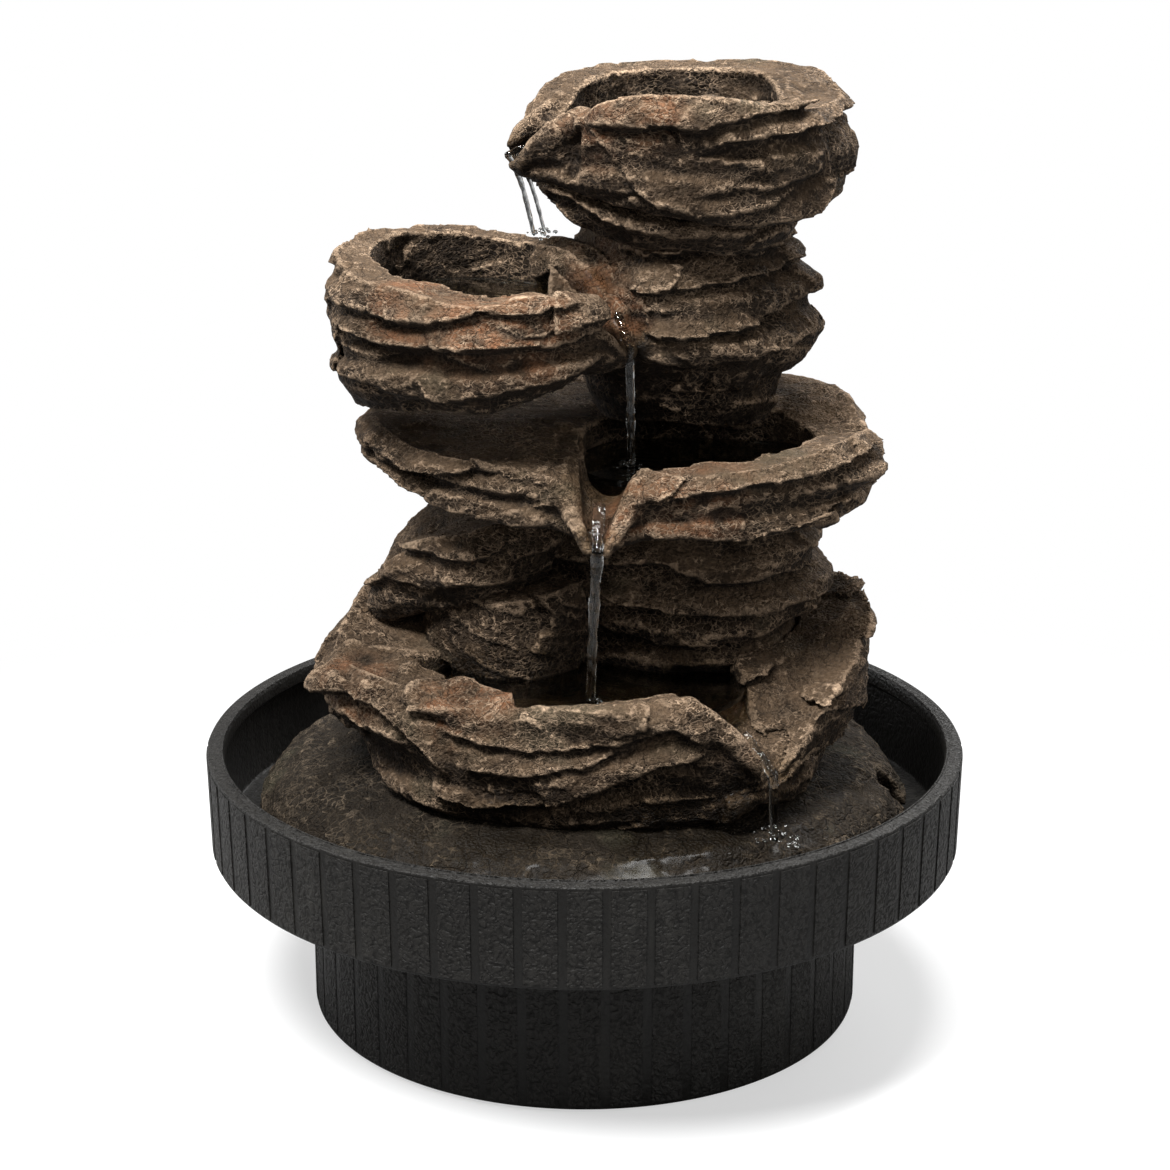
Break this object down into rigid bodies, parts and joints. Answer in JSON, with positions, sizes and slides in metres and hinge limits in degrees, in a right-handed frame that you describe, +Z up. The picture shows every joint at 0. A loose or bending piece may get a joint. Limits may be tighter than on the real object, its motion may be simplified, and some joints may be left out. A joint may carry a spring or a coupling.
{
  "type": "tabletop water fountain",
  "caption": "Tabletop rock cascade in a stepped black bowl; a pump in the foot lifts water to the top pool and it falls from stone to stone.",
  "frame": {"origin": "on the bowl's axis, on the table under the rubber pads", "axes": "+Z up the cascade, -Y the front with the falls, +X to the right of the front"},
  "size_m": [0.21, 0.21, 0.26],
  "materials": {
    "black_plastic": "leather-grained black moulding with smooth strips",
    "pad_rubber": "soft matt rubber",
    "cast_stone": "cast resin stone, dark brown wash with tan dry-brushed edges",
    "wet_stone": "the same resin stone, darker where it is wet",
    "hose_silicone": "milky silicone",
    "pump_plastic": "satin black moulding",
    "core_steel": "stacked laminations",
    "coil_copper": "enamelled copper winding",
    "potting_resin": "poured epoxy",
    "seal_rubber": "smooth black rubber",
    "shaft_ceramic": "ground white ceramic",
    "magnet_ferrite": "ferrite",
    "impeller_plastic": "white moulding",
    "filter_foam": "open-cell foam",
    "regulator_plastic": "grey moulding"
  },
  "bodies": {
    "bowl": {"basin": "black_plastic", "foot_pads": "pad_rubber", "pump_housing": "pump_plastic", "stator_core": "core_steel", "stator_coils": "coil_copper", "potting": "potting_resin", "cable_gland": "seal_rubber", "chamber_seal": "seal_rubber", "chamber_cover": "pump_plastic", "hose_nozzle": "pump_plastic", "shaft": "shaft_ceramic", "rear_bush": "seal_rubber", "front_bush": "seal_rubber", "suction_cups": "hose_silicone"},
    "cascade": {"base_plate": "wet_stone", "hose_grommet": "seal_rubber", "lower_tier": "cast_stone", "back_column": "cast_stone", "streaked_boulder": "cast_stone", "left_boulder": "cast_stone", "side_stone": "cast_stone", "third_tier": "cast_stone", "neck": "cast_stone", "second_bowl": "cast_stone", "under_slab": "cast_stone", "top_bowl": "cast_stone", "riser_hose": "hose_silicone", "outlet_fitting": "pump_plastic"},
    "rotor": {"rotor_magnet": "magnet_ferrite", "impeller": "impeller_plastic"},
    "cover": {"intake_cover": "pump_plastic", "filter_foam": "filter_foam"},
    "regulator": {"flow_regulator": "regulator_plastic"}
  },
  "joints": [
    {"name": "rock_lift", "type": "slide", "parent": "bowl", "child": "cascade", "axis": [0, 0, 1], "range_m": [0, 0.09]},
    {"name": "rotor_spin", "type": "hinge", "parent": "bowl", "child": "rotor", "pos_m": [0.02, 0.009, 0.0358], "axis": [1, 0, 0], "continuous": true},
    {"name": "cover_pull", "type": "slide", "parent": "bowl", "child": "cover", "axis": [1, 0, 0], "range_m": [0, 0.018]},
    {"name": "regulator_slide", "type": "slide", "parent": "cover", "child": "regulator", "axis": [0, 0, -1], "range_m": [0, 0.01]}
  ]
}
